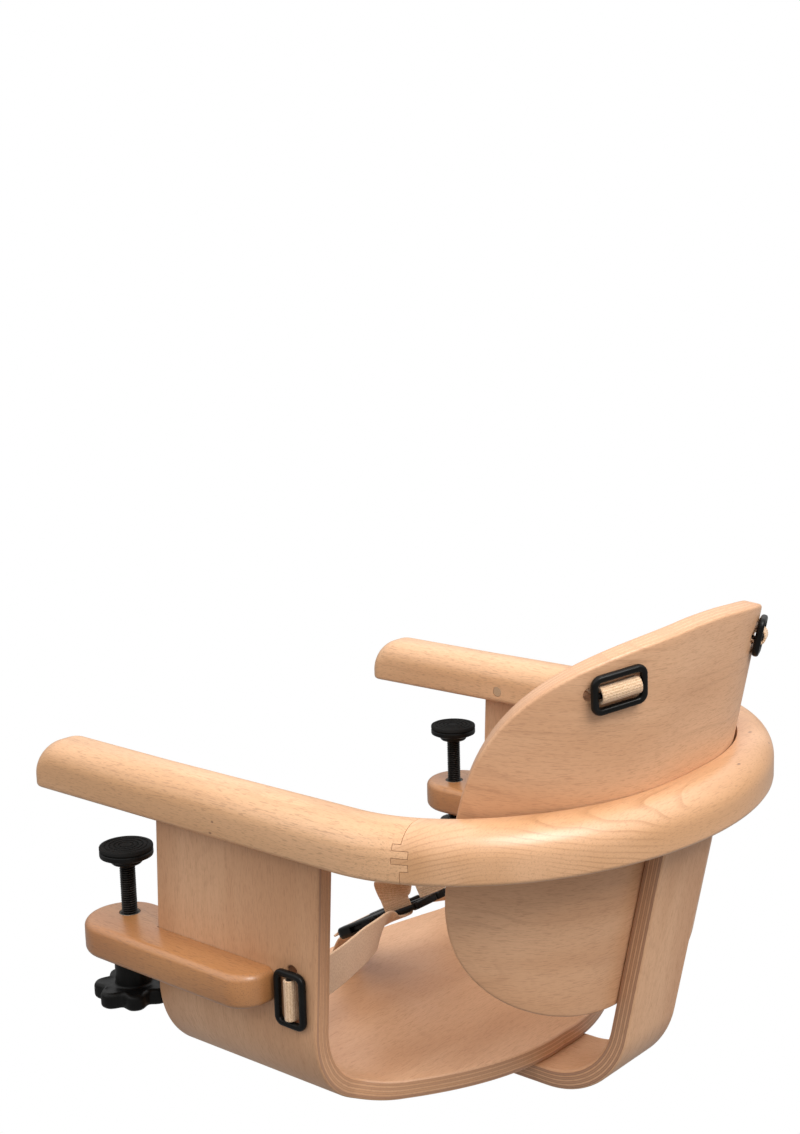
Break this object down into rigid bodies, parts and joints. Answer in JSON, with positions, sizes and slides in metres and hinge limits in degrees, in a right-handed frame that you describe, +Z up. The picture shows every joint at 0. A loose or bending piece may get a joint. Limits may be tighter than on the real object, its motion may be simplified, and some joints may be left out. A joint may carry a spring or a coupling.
{
  "type": "hook on table chair",
  "caption": "Child's clamp-on seat: bent plywood shell under a beech bow whose arms rest on a table top, held by screw clamps from below.",
  "frame": {"origin": "middle of the table's upper front edge: the arms' undersides lie in the plane z = 0 and the side panels meet the table's edge at y = 0", "axes": "+X to the seated child's left, +Y to the back of the chair, +Z up; the table lies on the -Y side"},
  "size_m": [0.392, 0.3989, 0.3123],
  "materials": {
    "beech": "satin lacquer",
    "dark_beech": "satin lacquer",
    "plywood": "satin lacquer over beech veneer",
    "black_plastic": "moulded satin",
    "rubber": "matt",
    "black_steel": "blackened",
    "steel": "zinc plated",
    "webbing": "woven"
  },
  "bodies": {
    "frame": {"left_arm": "beech", "right_arm": "beech", "rear_bow": "beech", "seat_shell": "plywood", "rear_support": "plywood", "backrest": "plywood", "left_panel_screw_front": "steel", "right_panel_screw_front": "steel", "left_panel_screw_rear": "steel", "right_panel_screw_rear": "steel", "left_screw_plug_front": "beech", "right_screw_plug_front": "beech", "left_screw_plug_rear": "beech", "right_screw_plug_rear": "beech", "support_dowel_left": "beech", "support_dowel_right": "beech", "backrest_screw_left": "black_steel", "backrest_screw_right": "black_steel", "backrest_screw_upper": "black_steel", "backrest_screw_lower": "black_steel", "support_screw_front": "black_steel", "support_screw_rear": "black_steel", "left_clamp_bar": "dark_beech", "right_clamp_bar": "dark_beech", "left_bar_screw_front": "black_steel", "right_bar_screw_front": "black_steel", "left_bar_screw_rear": "black_steel", "right_bar_screw_rear": "black_steel", "left_threaded_insert": "steel", "right_threaded_insert": "steel", "left_side_buckle": "black_plastic", "right_side_buckle": "black_plastic", "back_buckle_left": "black_plastic", "back_buckle_right": "black_plastic", "crotch_buckle": "black_plastic", "buckle_housing": "black_plastic", "left_waist_strap": "webbing", "right_waist_strap": "webbing", "left_shoulder_strap": "webbing", "right_shoulder_strap": "webbing", "crotch_strap": "webbing"},
    "left_pad": {"left_pad_cup": "black_plastic", "left_pad_face": "rubber"},
    "right_pad": {"right_pad_cup": "black_plastic", "right_pad_face": "rubber"},
    "left_screw": {"left_clamp_rod": "black_steel", "left_clamp_knob": "black_plastic"},
    "right_screw": {"right_clamp_rod": "black_steel", "right_clamp_knob": "black_plastic"},
    "left_latch": {"left_tongue": "black_plastic", "left_strap_bend": "webbing"},
    "right_latch": {"right_tongue": "black_plastic", "right_strap_bend": "webbing"}
  },
  "joints": [
    {"name": "left_pad_slide", "type": "slide", "parent": "frame", "child": "left_pad", "axis": [0, 0, 1], "range_m": [-0.032, 0.009]},
    {"name": "right_pad_slide", "type": "slide", "parent": "frame", "child": "right_pad", "axis": [0, 0, 1], "range_m": [-0.032, 0.009]},
    {"name": "left_screw_turn", "type": "hinge", "parent": "left_pad", "child": "left_screw", "pos_m": [0.165, -0.036, -0.12], "axis": [0, 0, 1], "range_deg": [-7680, 2160]},
    {"name": "right_screw_turn", "type": "hinge", "parent": "right_pad", "child": "right_screw", "pos_m": [-0.165, -0.036, -0.12], "axis": [0, 0, 1], "range_deg": [-7680, 2160]},
    {"name": "left_tongue_slide", "type": "slide", "parent": "frame", "child": "left_latch", "axis": [0, 0.8796, 0.4756], "range_m": [0, 0.026]},
    {"name": "right_tongue_slide", "type": "slide", "parent": "frame", "child": "right_latch", "axis": [0, 0.8796, 0.4756], "range_m": [0, 0.026]}
  ],
  "couplings": [
    {"joint": "left_screw_turn", "follows": "left_pad_slide", "rad_per_m": 4188.8},
    {"joint": "right_screw_turn", "follows": "right_pad_slide", "rad_per_m": 4188.8}
  ]
}
